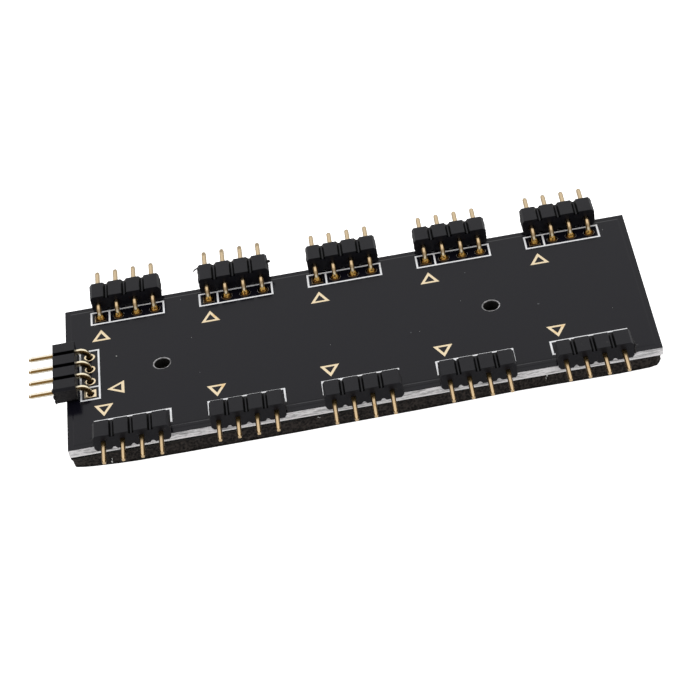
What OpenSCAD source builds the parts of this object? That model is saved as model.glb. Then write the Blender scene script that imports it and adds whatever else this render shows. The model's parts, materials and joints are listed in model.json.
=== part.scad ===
// Splitter hub for four-wire light strips: one input header feeds ten output headers.
// Millimetres. Origin at the centre of the pad's underside, below the middle of the board.
// +X runs along the board, away from the input header. +Y points to the far row. +Z is up.

/* [Board] */
// Thickness of the finished board, with the lacquer on both faces
board_t = 1.6; // [1.0:0.1:2.4]
// From the left edge to the first pin of the outer rows
margin_left = 4.97; // [4.5:0.01:12]
// From the last pin of the outer rows to the right edge
margin_right = 5.17; // [2.5:0.01:12]
// From the far row of pins to the far edge
margin_far = 2.6; // [2.4:0.05:8]
// From the near row of pins to the near edge
margin_near = 3.54; // [2.4:0.02:8]
// From the near row of pins to the far row
row_gap = 22.86; // [20.32:2.54:40.64]
// From the left edge to the input header's pins
margin_in = 3.23; // [2.4:0.01:3.6]
// Flat ground along the scored lower corners of the board's edge
score_bevel = 0.25; // [0.1:0.05:0.4]

/* [Mounting holes] */
// Diameter of the two screw holes
hole_d = 2.2; // [1.6:0.1:2.6]
// From the left edge to the first screw hole
hole_inset = 13.12; // [12.6:0.02:13.6]
// Distance between the screw holes
hole_gap = 45; // [44:0.1:46]
// Bare ring that the lacquer leaves round a screw hole
hole_ring = 0.17; // [0.16:0.01:0.4]

/* [Headers] */
// Distance between the pins of one header
pin_pitch = 2.54; // [2.54:0.01:2.8]
// Distance from one output header to the next
header_pitch = 15.24; // [15:0.12:18]
// Height of the black housing
housing_h = 2.54; // [2.2:0.02:3.2]
// Depth of the housing along the pins
housing_depth = 3; // [2.2:0.1:4]
// From the soldered pins to the back of the housing
housing_gap = 1.6; // [1.6:0.1:2.4]
// Depth of the groove between two cells of a housing
groove_depth = 0.35; // [0.15:0.05:0.5]
// Width of a groove at the surface
groove_w = 0.76; // [0.5:0.02:0.9]
// Width of a groove at its floor
groove_floor = 0.2; // [0.1:0.02:0.4]

/* [Pins] */
// Side of the square pin
pin_w = 0.64; // [0.5:0.01:0.66]
// Nominal reach of a pin, from its pad to its tip
pin_reach = 8.5; // [7.5:0.1:12]
// Radius of the bend, to the middle of the pin
bend_r = 1.1; // [0.8:0.05:1.2]
// How far a pin stands below the board
tail_len = 1.2; // [0.8:0.1:1.4]
// Length of the taper at a pin's ends
tip_len = 0.25; // [0.2:0.05:0.7]
// Side of the pin at the end of the taper
tip_w = 0.46; // [0.2:0.02:0.48]

/* [Soldering] */
// Inner diameter of a plated hole
barrel_d = 1.0; // [0.96:0.01:1.1]
// Width of a pad
pad_d = 1.5; // [1.35:0.05:1.8]
// Height of the solder cone under the board
solder_h = 0.9; // [0.5:0.05:1.1]
// Width of the solder cone where it meets the pin
solder_neck = 1.0; // [0.95:0.01:1.2]
// How far the solder has risen inside the plated hole
solder_rise = 0.7; // [0.3:0.05:0.9]

/* [Copper and lacquer] */
// Thickness of the copper
copper_t = 0.05; // [0.035:0.005:0.07]
// Thickness of the plating in a hole
plating_t = 0.03; // [0.02:0.005:0.05]
// Thickness of the lacquer over bare laminate
mask_t = 0.08; // [0.075:0.005:0.12]
// Width of the signal tracks
track_w = 0.4; // [0.25:0.05:0.5]
// Diameter of a through connection between the two copper layers
via_d = 0.5; // [0.3:0.05:0.5]
// Gap between neighbouring copper shapes
copper_gap = 0.25; // [0.15:0.01:0.3]
// From the board's edge to the supply plane
plane_inset = 0.8; // [0.5:0.05:1.2]
// From the near edge to the slot that parts a strip from the supply plane
slot_inset = 1.5; // [1.4:0.05:2]
// Gap between a pad and the lacquer round it
mask_gap = 0.04; // [0.02:0.01:0.08]

/* [Marks] */
// Thickness of the white print
print_t = 0.03; // [0.02:0.005:0.05]
// Width of a printed line
print_w = 0.25; // [0.15:0.01:0.3]
// Width of the printed frame round the pins, between the middles of its lines
frame_w = 2.54; // [2.4:0.02:2.8]
// Base of the triangle beside each first pin
mark_base = 2.68; // [2:0.02:3]
// Height of that triangle
mark_h = 2.41; // [1.8:0.01:2.6]
// Width of the triangle's outline
mark_line = 0.4; // [0.2:0.01:0.45]
// From the far row of pins to the tips of its triangles
mark_gap_far = 2.54; // [1.9:0.02:3]
// From the near row of pins to the tips of its triangles
mark_gap_near = 2.1; // [1.9:0.02:3]
// From the input header's pins to the tip of its triangle
mark_gap_in = 2.2; // [1.9:0.02:3]
// Shift of the input header's triangle from its first pin, towards the middle of the header
mark_shift_in = 0.3; // [0:0.05:0.5]

/* [Foam pad] */
// Thickness of the foam
foam_t = 2.0; // [1.8:0.1:5]
// Thickness of each film of adhesive
film_t = 0.1; // [0.05:0.01:0.2]
// Inset of the foam from the board's far edge
foam_inset = 0.45; // [0:0.05:1]
// Inset of the foam from the board's ends
foam_end_inset = 0.1; // [0:0.05:0.15]
// Cut across the foam's far corners
foam_corner = 0.8; // [0.3:0.1:1.4]
// Space between a solder joint and the pocket it has sunk in the foam
pocket_gap = 0.2; // [0.1:0.05:0.25]

/* [Hidden] */
$fn = 32;

// Overlap that makes a cut pass cleanly through a face
cut = 0.5;

// Counts that the design fixes
outputs_per_row = 5;
pins_per_header = 4;
last_header = 2 * outputs_per_row;
nets = [0:pins_per_header - 1];

// The board's outline follows from the rows of headers and their margins
header_l = pins_per_header * pin_pitch;
pins_l = (pins_per_header - 1) * pin_pitch;
board_l = margin_left + (outputs_per_row - 1) * header_pitch + pins_l + margin_right;
board_w = margin_near + row_gap + margin_far;
left_edge = -board_l / 2;
near_edge = -board_w / 2;
first_pin_x = left_edge + margin_left;
far_y = near_edge + margin_near + row_gap;
near_y = near_edge + margin_near;
in_x = left_edge + margin_in;

// Heights of the layers, from the surface that the pad is stuck to
foam_bottom = film_t;
foam_top = foam_bottom + foam_t;
board_bottom = foam_top + film_t;
core_bottom = board_bottom + mask_t;
board_top = board_bottom + board_t;
core_top = board_top - mask_t;
copper_top = core_top + copper_t;
copper_bottom = core_bottom - copper_t;
pin_z = board_top + housing_h / 2;

// Each header: middle of its pins, the way its pins point, and the side that pin 1 is on
HEADERS = concat(
    [for (i = [0:outputs_per_row - 1]) [header_x(i), far_y, 0, 1]],
    [for (i = [0:outputs_per_row - 1]) [header_x(i), near_y, 180, -1]],
    [[in_x, 0, 90, 1]]
);
// Headers are soldered by hand, so the pins of each reach a little more or less than nominal
REACH_PLAY = [0, 0.35, -0.2, -0.4, -0.2, 0.1, -0.4, 0.25, -0.05, -0.2, -0.4];
// Shift of each header's triangle along its pins, and the gap from the pins to its tip
MARKS = concat(
    [for (i = [1:outputs_per_row]) [0, mark_gap_far]],
    [for (i = [1:outputs_per_row]) [0, mark_gap_near]],
    [[mark_shift_in, mark_gap_in]]
);

// Screw holes on the board's long middle line
HOLE_XS = [left_edge + hole_inset, left_edge + hole_inset + hole_gap];
// Distance that a track keeps from the middle of a screw hole
hole_keep = hole_d / 2 + 2 * copper_gap + track_w;

// Lines on which the signal nets run along the board: they clear the screw holes
bus_y = hole_d / 2 + copper_gap + track_w;
BUS_YS = [0, -bus_y, bus_y, pins_l / 2];

// Trims of the hand-cut near side of the foam: share of the length, then inset from the edge
FOAM_TRIMS = [
    [0.003, 1.0], [0.005, 0.82], [0.02, 0.57], [0.035, 0.42], [0.08, 0.14], [0.11, 0.04],
    [0.2, 0.02], [0.38, 0.1], [0.45, 0.2], [0.585, 0.34], [0.76, 0.7], [0.925, 0.58],
    [0.977, 0.76], [0.99, 1.0], [0.995, 1.5]
];
// Where the trimmed near side meets the pad's two ends
foam_end_trim = [1.5, 2.1];

function header_x(i) = first_pin_x + i * header_pitch + pins_l / 2;
function pin_x(i, net) = first_pin_x + i * header_pitch + net * pin_pitch;
// Radius of the circle inside a triangle mark
function mark_inner_r() = mark_base * mark_h / (mark_base + 2 * sqrt(pow(mark_h, 2) + pow(mark_base / 2, 2)));
// A place beside the screw hole that a straight track would run into, if there is one
function detours(x) = [for (hole_x = HOLE_XS) if (abs(x - hole_x) < hole_keep) hole_x + hole_keep];

// Local frame of a header: pins in a row along X, pointing along +Y
module at_header(h) {
    translate([HEADERS[h][0], HEADERS[h][1], 0]) rotate([0, 0, HEADERS[h][2]]) children();
}

module at_header_pin(h, net) {
    at_header(h) translate([HEADERS[h][3] * (net * pin_pitch - pins_l / 2), 0, 0]) children();
}

module at_net_pins(net) {
    for (h = [0:last_header]) at_header_pin(h, net) children();
}

module at_all_pins() {
    for (net = nets) at_net_pins(net) children();
}

module at_screw_holes() {
    for (hole_x = HOLE_XS) translate([hole_x, 0, 0]) children();
}

// Flat shape between two heights
module layer(bottom, top) {
    translate([0, 0, bottom]) linear_extrude(height = top - bottom) children();
}

// Straight run of track between two points, with square ends
module run_between(a, b, w) {
    translate(a)
        rotate([0, 0, atan2(b[1] - a[1], b[0] - a[0])])
            translate([-w / 2, -w / 2]) square([norm(b - a) + w, w]);
}

module route(points, w) {
    for (i = [0:len(points) - 2]) run_between(points[i], points[i + 1], w);
}

module board_outline(inset = 0) {
    square([board_l - 2 * inset, board_w - 2 * inset], center = true);
}

// The first pin's pad is square, the others are round
module pad_outline(net, grow = 0) {
    if (net == 0) square(pad_d + 2 * grow, center = true);
    if (net > 0) circle(d = pad_d + 2 * grow);
}

// Triangle that points at pin 1, grown or shrunk evenly by moving its sides
module mark_triangle(grow) {
    inner_r = mark_inner_r();
    translate([0, inner_r])
        scale((inner_r + grow) / inner_r)
            translate([0, -inner_r])
                polygon([[-mark_base / 2, 0], [mark_base / 2, 0], [0, mark_h]]);
}

module at_marks() {
    for (h = [0:last_header])
        at_header_pin(h, 0) translate([MARKS[h][0], -MARKS[h][1] - mark_h]) children();
}

module mark_outlines() {
    at_marks() difference() {
        mark_triangle(0);
        mark_triangle(-mark_line);
    }
}

// Line of a signal net along the board, from the input header to its last output
module bus(net) {
    route([[in_x, BUS_YS[net]], [pin_x(outputs_per_row - 1, net), BUS_YS[net]]], track_w);
}

// Line of a signal net across the board, led round a screw hole where one is in its way
module cross_track(i, net) {
    x = pin_x(i, net);
    around = detours(x);
    aside_y = hole_keep;
    if (len(around) == 0) route([[x, near_y], [x, far_y]], track_w);
    if (len(around) > 0)
        route(
            [[x, near_y], [x, -aside_y], [around[0], -aside_y], [around[0], aside_y], [x, aside_y], [x, far_y]],
            track_w
        );
}

// Supply plane: it fills the top face round the signal nets, the marks and the screw holes
module supply_plane() {
    field_top = BUS_YS[3] + track_w / 2 + copper_gap;
    field_bottom = BUS_YS[1] - track_w / 2 - copper_gap;
    field_right = pin_x(outputs_per_row - 1, 3) + track_w + copper_gap;
    difference() {
        board_outline(plane_inset);
        translate([0, near_edge + slot_inset])
            square([board_l - 4 * slot_inset, copper_gap], center = true);
        for (net = [1:3]) at_net_pins(net) pad_outline(net, copper_gap);
        at_marks() mark_triangle(copper_gap);
        translate([in_x, field_bottom]) square([field_right - in_x, field_top - field_bottom]);
        at_screw_holes() circle(d = hole_d + 4 * copper_gap);
    }
}

module copper_top_layer(net) {
    at_net_pins(net) pad_outline(net);
    if (net == 0) supply_plane();
    if (net > 0) bus(net);
}

module copper_bottom_layer(net) {
    at_net_pins(net) pad_outline(net);
    if (net > 0) for (i = [0:outputs_per_row - 1]) cross_track(i, net);
}

module at_vias(net) {
    if (net > 0)
        for (i = [0:outputs_per_row - 1]) translate([pin_x(i, net), BUS_YS[net], 0]) children();
}

// One conductor: its copper on both faces, its plated holes and its through connections
module copper_net(net) {
    difference() {
        union() {
            layer(core_top, copper_top) copper_top_layer(net);
            layer(copper_bottom, core_bottom) copper_bottom_layer(net);
            layer(copper_bottom, copper_top) at_net_pins(net) circle(d = barrel_d + 2 * plating_t);
            layer(copper_bottom, copper_top) at_vias(net) circle(d = via_d);
        }
        layer(copper_bottom - cut, copper_top + cut) at_net_pins(net) circle(d = barrel_d);
    }
}

module copper_supply() {
    color([0.85, 0.65, 0.35]) copper_net(0);
}

module copper_green() {
    color([0.85, 0.65, 0.35]) copper_net(1);
}

module copper_red() {
    color([0.85, 0.65, 0.35]) copper_net(2);
}

module copper_blue() {
    color([0.85, 0.65, 0.35]) copper_net(3);
}

module board_laminate() {
    color([0.82, 0.80, 0.78]) difference() {
        layer(core_bottom, core_top) board_outline();
        // Long edges are scored before the boards are snapped apart
        for (side = [-1, 1])
            translate([0, side * board_w / 2, core_bottom])
                rotate([45, 0, 0])
                    cube([board_l + 2 * cut, score_bevel * sqrt(2), score_bevel * sqrt(2)], center = true);
        layer(core_bottom - cut, core_top + cut) at_all_pins() circle(d = barrel_d + 2 * plating_t);
        layer(core_bottom - cut, core_top + cut) for (net = [1:3]) at_vias(net) circle(d = via_d);
        layer(core_bottom - cut, core_top + cut) at_screw_holes() circle(d = hole_d);
    }
}

module solder_mask_top() {
    color([0.17, 0.17, 0.18]) difference() {
        layer(core_top, board_top) board_outline();
        for (net = nets) layer(core_top - cut, copper_top) copper_top_layer(net);
        layer(core_top - cut, board_top + cut) {
            for (net = nets) at_net_pins(net) pad_outline(net, mask_gap);
            mark_outlines();
            at_screw_holes() circle(d = hole_d + 2 * hole_ring);
        }
        layer(core_top - cut, copper_top) for (net = [1:3]) at_vias(net) circle(d = via_d);
    }
}

module solder_mask_bottom() {
    color([0.17, 0.17, 0.18]) difference() {
        layer(board_bottom, core_bottom) board_outline(score_bevel);
        for (net = nets) layer(copper_bottom, core_bottom + cut) copper_bottom_layer(net);
        layer(board_bottom - cut, core_bottom + cut) {
            for (net = nets) at_net_pins(net) pad_outline(net, mask_gap);
            at_screw_holes() circle(d = hole_d + 2 * hole_ring);
        }
        layer(copper_bottom, core_bottom + cut) for (net = [1:3]) at_vias(net) circle(d = via_d);
    }
}

// Printed frame round each header's pins, with a bar that sets pin 1 apart
module silkscreen() {
    color([0.95, 0.95, 0.97]) layer(board_top, board_top + print_t) {
        for (h = [0:last_header]) at_header(h) {
            difference() {
                square([header_l + print_w, frame_w + print_w], center = true);
                square([header_l - print_w, frame_w - print_w], center = true);
            }
            translate([HEADERS[h][3] * (pin_pitch - header_l / 2), 0])
                square([print_w, frame_w], center = true);
        }
    }
}

// Bare copper left showing through the lacquer, seated on the laminate
module pin_one_marks() {
    color([0.98, 0.85, 0.6]) layer(core_top, copper_top) mark_outlines();
}

// Cross-section of a housing, seen along its pins: cells parted by grooves top and bottom
module housing_section() {
    flank = (groove_w - groove_floor) / 2;
    difference() {
        translate([-header_l / 2 + groove_floor / 2, 0]) square([header_l - groove_floor, housing_h]);
        for (i = [0:pins_per_header])
            translate([i * pin_pitch - header_l / 2, 0])
                for (flip = [0, 1])
                    translate([0, flip * housing_h])
                        mirror([0, flip])
                            polygon([
                                [-groove_floor / 2 - flank, 0],
                                [-groove_floor / 2, groove_depth],
                                [groove_floor / 2, groove_depth],
                                [groove_floor / 2 + flank, 0]
                            ]);
        for (i = [0:pins_per_header - 1])
            translate([i * pin_pitch - pins_l / 2, housing_h / 2]) square(pin_w, center = true);
    }
}

module header_housing(h) {
    color([0.18, 0.18, 0.19])
        at_header(h)
            translate([0, housing_gap + housing_depth, board_top])
                rotate([90, 0, 0])
                    linear_extrude(height = housing_depth) housing_section();
}

// A pin seen from the side: tail below the board, bend, then straight through the housing
module pin_side(reach) {
    tail_z = board_bottom - tail_len;
    bend_z = pin_z - bend_r;
    translate([-pin_w / 2, tail_z + tip_len]) square([pin_w, bend_z - tail_z - tip_len]);
    polygon([
        [-pin_w / 2, tail_z + tip_len],
        [-tip_w / 2, tail_z],
        [tip_w / 2, tail_z],
        [pin_w / 2, tail_z + tip_len]
    ]);
    translate([bend_r, bend_z]) intersection() {
        difference() {
            circle(r = bend_r + pin_w / 2);
            circle(r = bend_r - pin_w / 2);
        }
        translate([-2 * bend_r, 0]) square(2 * bend_r);
    }
    translate([bend_r, pin_z - pin_w / 2]) square([reach - tip_len - bend_r, pin_w]);
    polygon([
        [reach - tip_len, pin_z - pin_w / 2],
        [reach, pin_z - tip_w / 2],
        [reach, pin_z + tip_w / 2],
        [reach - tip_len, pin_z + pin_w / 2]
    ]);
}

// The same pin seen from above: it narrows at the tip
module pin_plan(reach) {
    polygon([
        [-pin_w / 2, -pin_w],
        [pin_w / 2, -pin_w],
        [pin_w / 2, reach - tip_len],
        [tip_w / 2, reach],
        [-tip_w / 2, reach],
        [-pin_w / 2, reach - tip_len]
    ]);
}

module pin(reach) {
    intersection() {
        translate([pin_w / 2, 0, 0])
            rotate([90, 0, 90])
                translate([0, 0, -pin_w])
                    linear_extrude(height = pin_w) pin_side(reach);
        linear_extrude(height = pin_z + housing_h) pin_plan(reach);
    }
}

module header_pins(h) {
    color([0.86, 0.68, 0.38])
        for (net = nets) at_header_pin(h, net) pin(pin_reach + REACH_PLAY[h]);
}

// Solder has climbed part of the way up the plated hole and stands in a cone below the pad
module solder_joint() {
    difference() {
        union() {
            translate([0, 0, copper_bottom]) cylinder(d = barrel_d, h = solder_rise);
            translate([0, 0, copper_bottom - solder_h])
                cylinder(d1 = solder_neck, d2 = pad_d, h = solder_h);
        }
        translate([-pin_w / 2, -pin_w / 2, copper_bottom - solder_h - cut])
            cube([pin_w, pin_w, solder_h + solder_rise + 2 * cut]);
    }
}

module header_solder(h) {
    color([0.75, 0.76, 0.78]) for (net = nets) at_header_pin(h, net) solder_joint();
}

// Outline of the hand-cut pad: square on its far side and ends, uneven on the near side
module foam_outline() {
    left = left_edge + foam_end_inset;
    right = -left;
    far = board_w / 2 - foam_inset;
    polygon(concat(
        [[left, far - foam_corner], [left, near_edge + foam_end_trim[0]]],
        [for (trim = FOAM_TRIMS) [left_edge + trim[0] * board_l, near_edge + trim[1]]],
        [[right, near_edge + foam_end_trim[1]], [right, far - foam_corner]],
        [[right - foam_corner, far], [left + foam_corner, far]]
    ));
}

// Pockets that the soldered tails have pressed into the pad
module tail_pockets() {
    pocket_floor = board_bottom - tail_len - pocket_gap;
    layer(pocket_floor, board_bottom + cut) at_all_pins() circle(d = pad_d + 2 * pocket_gap);
}

module adhesive_upper() {
    color([0.3, 0.3, 0.3]) difference() {
        layer(foam_top, board_bottom) foam_outline();
        tail_pockets();
    }
}

module foam_pad() {
    color([0.1, 0.09, 0.08]) difference() {
        layer(foam_bottom, foam_top) foam_outline();
        tail_pockets();
    }
}

module adhesive_lower() {
    color([0.3, 0.3, 0.3]) layer(0, foam_bottom) foam_outline();
}

board_laminate();
solder_mask_top();
solder_mask_bottom();
silkscreen();
pin_one_marks();
copper_supply();
copper_green();
copper_red();
copper_blue();
header_housing(0);  // out_1_housing
header_housing(1);  // out_2_housing
header_housing(2);  // out_3_housing
header_housing(3);  // out_4_housing
header_housing(4);  // out_5_housing
header_housing(5);  // out_6_housing
header_housing(6);  // out_7_housing
header_housing(7);  // out_8_housing
header_housing(8);  // out_9_housing
header_housing(9);  // out_10_housing
header_housing(10);  // in_housing
header_pins(0);  // out_1_pins
header_pins(1);  // out_2_pins
header_pins(2);  // out_3_pins
header_pins(3);  // out_4_pins
header_pins(4);  // out_5_pins
header_pins(5);  // out_6_pins
header_pins(6);  // out_7_pins
header_pins(7);  // out_8_pins
header_pins(8);  // out_9_pins
header_pins(9);  // out_10_pins
header_pins(10);  // in_pins
header_solder(0);  // out_1_solder
header_solder(1);  // out_2_solder
header_solder(2);  // out_3_solder
header_solder(3);  // out_4_solder
header_solder(4);  // out_5_solder
header_solder(5);  // out_6_solder
header_solder(6);  // out_7_solder
header_solder(7);  // out_8_solder
header_solder(8);  // out_9_solder
header_solder(9);  // out_10_solder
header_solder(10);  // in_solder
adhesive_upper();
foam_pad();
adhesive_lower();
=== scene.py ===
"""Finished look of the splitter hub: lacquer, print, plating, rounded headers, cut foam and a white tent."""
import json
import math

import bmesh
import bpy
from bpy.props import FloatProperty, FloatVectorProperty, IntProperty, PointerProperty
from mathutils import Matrix, Vector, noise


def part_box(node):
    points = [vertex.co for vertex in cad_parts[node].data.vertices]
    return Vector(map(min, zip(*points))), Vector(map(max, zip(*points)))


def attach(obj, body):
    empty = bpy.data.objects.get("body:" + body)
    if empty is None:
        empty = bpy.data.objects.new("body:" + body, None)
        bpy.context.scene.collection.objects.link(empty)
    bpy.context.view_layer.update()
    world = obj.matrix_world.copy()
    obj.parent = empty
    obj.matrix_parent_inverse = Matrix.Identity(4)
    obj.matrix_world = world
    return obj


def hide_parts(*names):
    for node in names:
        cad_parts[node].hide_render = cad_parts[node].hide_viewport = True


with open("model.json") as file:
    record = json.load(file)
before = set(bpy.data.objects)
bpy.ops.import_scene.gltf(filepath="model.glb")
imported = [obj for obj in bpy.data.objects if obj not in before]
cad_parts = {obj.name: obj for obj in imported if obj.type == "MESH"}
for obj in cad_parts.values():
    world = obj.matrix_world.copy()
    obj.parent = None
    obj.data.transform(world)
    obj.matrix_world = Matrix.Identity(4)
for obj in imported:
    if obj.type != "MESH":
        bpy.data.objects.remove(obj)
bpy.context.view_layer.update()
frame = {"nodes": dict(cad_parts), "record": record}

bl_info = {
    "name": "Splitter hub",
    "version": (1, 0, 0),
    "blender": (4, 5, 0),
    "location": "3D View > Sidebar > Hub",
    "description": "Builds the finished look of a four-wire splitter hub round its measured solids",
    "category": "Object",
}

MM = 0.001
X, Y, Z = range(3)
WHITE = (1.0, 1.0, 1.0, 1.0)
BODY = "root"

OUTPUTS_PER_ROW = 5
PINS_PER_HEADER = 4
# Each header's turn about Z, in degrees: its pins point along its own +Y
HEADER_TURNS = {
    **{f"out_{i + 1}": 0 for i in range(OUTPUTS_PER_ROW)},
    **{f"out_{i + 1}": 180 for i in range(OUTPUTS_PER_ROW, 2 * OUTPUTS_PER_ROW)},
    "in": 90,
}
COPPER_NODES = ("copper_supply", "copper_green", "copper_red", "copper_blue")


def length(name, description, millimetres, **limits):
    """A length property, with its default in millimetres."""
    return FloatProperty(
        name=name, description=description, default=millimetres * MM, min=0.0,
        unit="LENGTH", subtype="DISTANCE", precision=5, **limits,
    )


def factor(name, description, default):
    return FloatProperty(
        name=name, description=description, default=default, min=0.0, max=1.0, subtype="FACTOR"
    )


def colour(name, what, default):
    return FloatVectorProperty(
        name=name, description=f"Colour of {what}", default=default, size=3, min=0.0, max=1.0,
        subtype="COLOR",
    )


class HubBoardSettings(bpy.types.PropertyGroup):
    lacquer: colour("Lacquer", "the black lacquer", (0.0044, 0.0041, 0.0076))
    lacquer_roughness: factor("Lacquer roughness", "How blurred the lacquer's mirror image is", 0.14)
    relief: length("Relief", "Step of the lacquer over the edge of the copper plane", 0.035)
    plane_inset: length("Plane inset", "From the board's edge to the copper plane", 0.8)
    slot_inset: length("Slot inset", "From the near edge to the slot in the copper plane", 1.5)
    laminate: colour("Laminate", "the sawn glass laminate", (0.97, 0.95, 0.96))
    laminate_dark: colour("Laminate shade", "the gaps between the glass fibres", (0.3, 0.295, 0.3))
    laminate_score: colour("Laminate score", "the scored lower part", (0.97, 0.96, 0.96))
    white_print: colour("Print", "the white print", (0.97, 0.98, 1.0))
    gold: colour("Gold", "the plated copper", (0.86, 0.71, 0.48))
    gold_dull: colour("Dull gold", "the duller patches on the plated copper", (0.8, 0.52, 0.22))
    pad_rise: length("Pad rise", "How far a pad's plating bulges above its flat copper", 0.04)
    pad_width: length("Pad width", "Width of a pad's plating", 1.48)
    pad_hole: length("Pad hole", "Width of the hole in a pad's plating", 1.0)


class HubHeaderSettings(bpy.types.PropertyGroup):
    plastic: colour("Plastic", "the moulded housings", (0.0062, 0.006, 0.0088))
    housing_edge: length("Housing edge", "Radius of a housing's moulded edges", 0.04)
    tear_depth: length("Tear depth", "Roughness of a housing's snapped ends", 0.1)
    pin_side: length("Pin side", "Side of the square pins", 0.64)
    pin_corner: length("Pin corner", "Radius of a pin's long corners", 0.17)
    pin_pitch: length("Pin pitch", "Distance between the pins of a header", 2.54)
    bend_radius: length("Bend radius", "Radius of a pin's bend, to its middle", 1.1)
    tip_length: length("Tip length", "Length of the taper at a pin's ends", 0.32)
    tip_side: length("Tip side", "Side of a pin at its very end", 0.42)
    bend_steps: IntProperty(name="Bend steps", description="Facets along a bend", default=10, min=3)
    pin_gold: colour("Pin gold", "the plated pins", (0.69, 0.51, 0.3))
    pin_stain: colour("Pin stain", "the duller patches on the pins", (0.55, 0.36, 0.17))
    # Painted shade on the pins' long corners
    pin_corner_shade: colour("Pin brown", "the pins' tarnished corners", (0.1, 0.06, 0.022))
    pin_grey: colour("Pin grey", "the pins' rubbed ends behind the far row", (0.64, 0.5, 0.32))


class HubFoamSettings(bpy.types.PropertyGroup):
    foam: colour("Foam", "the foam's cell walls", (0.042, 0.034, 0.03))
    # Painted shade in the foam's open cells
    pore_shade: colour("Pores", "the foam's open cells inside", (0.006, 0.005, 0.0045))
    cell: length("Cell", "Size of the foam's cells", 0.3)
    cell_depth: length("Cell depth", "Depth of the cells that the knife has opened", 0.16)
    facet: length("Facet", "Length of the facets along the cut side", 0.14)
    layers: IntProperty(name="Layers", description="Rows of facets up the cut side", default=14, min=2)
    pocket_radius: length("Pocket radius", "Radius of the hollow pressed by each tail", 0.95)


class HubStageSettings(bpy.types.PropertyGroup):
    tent: FloatProperty(name="Tent", description="Brightness of the white tent", default=1.0, min=0.0)
    overhead: FloatProperty(name="Overhead", description="Brightness straight above", default=1.15, min=0.0)
    shade: FloatProperty(name="Shade", description="Brightness of the dark side", default=0.45, min=0.0)
    floor: colour("Floor", "the floor", (0.86, 0.86, 0.86))
    floor_size: length("Floor size", "Half the floor's width", 3000)


def header_settings():
    return bpy.context.scene.hub_headers


def board_settings():
    return bpy.context.scene.hub_board


# Shader nodes

def feed(tree, socket, value):
    """Links a socket to another one, or sets its plain value."""
    if isinstance(value, bpy.types.NodeSocket):
        tree.links.new(value, socket)
    else:
        socket.default_value = value


def add_node(tree, kind, inputs=None, **settings):
    """Adds a shader node, links or sets its inputs and sets its options."""
    node = tree.nodes.new(f"ShaderNode{kind}")
    for key, value in settings.items():
        setattr(node, key, value)
    for key, value in (inputs or {}).items():
        feed(tree, node.inputs[key], value)
    return node


def calc(tree, operation, *values, clamp=False):
    inputs = dict(enumerate(values))
    return add_node(tree, "Math", inputs, operation=operation, use_clamp=clamp).outputs[0]


def ramp(tree, value, start, end, low=0.0, high=1.0):
    """A smooth rise from low to high as value goes from start to end."""
    inputs = {"Value": value, "From Min": start, "From Max": end, "To Min": low, "To Max": high}
    return add_node(tree, "MapRange", inputs, interpolation_type="SMOOTHSTEP").outputs[0]


def blend_colours(tree, mask, first, second):
    node = add_node(tree, "Mix", {0: mask}, data_type="RGBA")
    feed(tree, node.inputs[6], rgba(first))
    feed(tree, node.inputs[7], rgba(second))
    return node.outputs[2]


def rgba(value):
    """A colour with its alpha, or a socket as it is."""
    return value if isinstance(value, bpy.types.NodeSocket) else (*value, 1.0)


def product(tree, first, *others):
    """Masks or values multiplied together."""
    for other in others:
        first = calc(tree, "MULTIPLY", first, other)
    return first


def dimmed(tone, share):
    return [share * part for part in tone]


def attribute(tree, name):
    """A value stored on the mesh."""
    return add_node(tree, "Attribute", attribute_name=name).outputs["Fac"]


def place(tree):
    return add_node(tree, "TexCoord").outputs["Object"]


def coordinate(tree, axis):
    return add_node(tree, "SeparateXYZ", {0: place(tree)}).outputs[axis]


def along(tree, axis, edges):
    """A mask that rises from 0 to 1 along an axis, between two places in millimetres."""
    return ramp(tree, coordinate(tree, axis), *(edge * MM for edge in edges))


def stretched(tree, scale, turn=0.0):
    """Object coordinates scaled apart and turned about Y, for marks that run one way."""
    inputs = {"Vector": place(tree), "Scale": scale, "Rotation": (0.0, math.radians(turn), 0.0)}
    return add_node(tree, "Mapping", inputs).outputs[0]


def cloud(tree, vector, scale, detail=3.0, roughness=0.55):
    """Soft noise from 0 to 1, with scale in cycles per metre."""
    inputs = {"Vector": vector, "Scale": scale, "Detail": detail, "Roughness": roughness}
    return add_node(tree, "TexNoise", inputs).outputs[0]


def new_group(name, inputs, outputs):
    """An empty shader group with named sockets, and its input and output nodes."""
    group = bpy.data.node_groups.new(name, "ShaderNodeTree")
    for socket, kind, default in inputs:
        made = group.interface.new_socket(name=socket, in_out="INPUT", socket_type=f"NodeSocket{kind}")
        if default is not None:
            made.default_value = default
    for socket, kind in outputs:
        group.interface.new_socket(name=socket, in_out="OUTPUT", socket_type=f"NodeSocket{kind}")
    return group, group.nodes.new("NodeGroupInput"), group.nodes.new("NodeGroupOutput")


def grain_group():
    """Fine grain of a moulded or sprayed surface: a height, and a mask of its broader patches."""
    group, source, result = new_group(
        "surface_grain",
        [("Vector", "Vector", None), ("Grain", "Float", 9000.0), ("Patch", "Float", 300.0)],
        [("Height", "Float"), ("Patches", "Float")],
    )
    fine = cloud(group, source.outputs["Vector"], source.outputs["Grain"], detail=2.0)
    broad = cloud(group, source.outputs["Vector"], source.outputs["Patch"], detail=4.0)
    feed(group, result.inputs["Height"], fine)
    feed(group, result.inputs["Patches"], ramp(group, broad, 0.35, 0.7))
    return group


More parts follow.
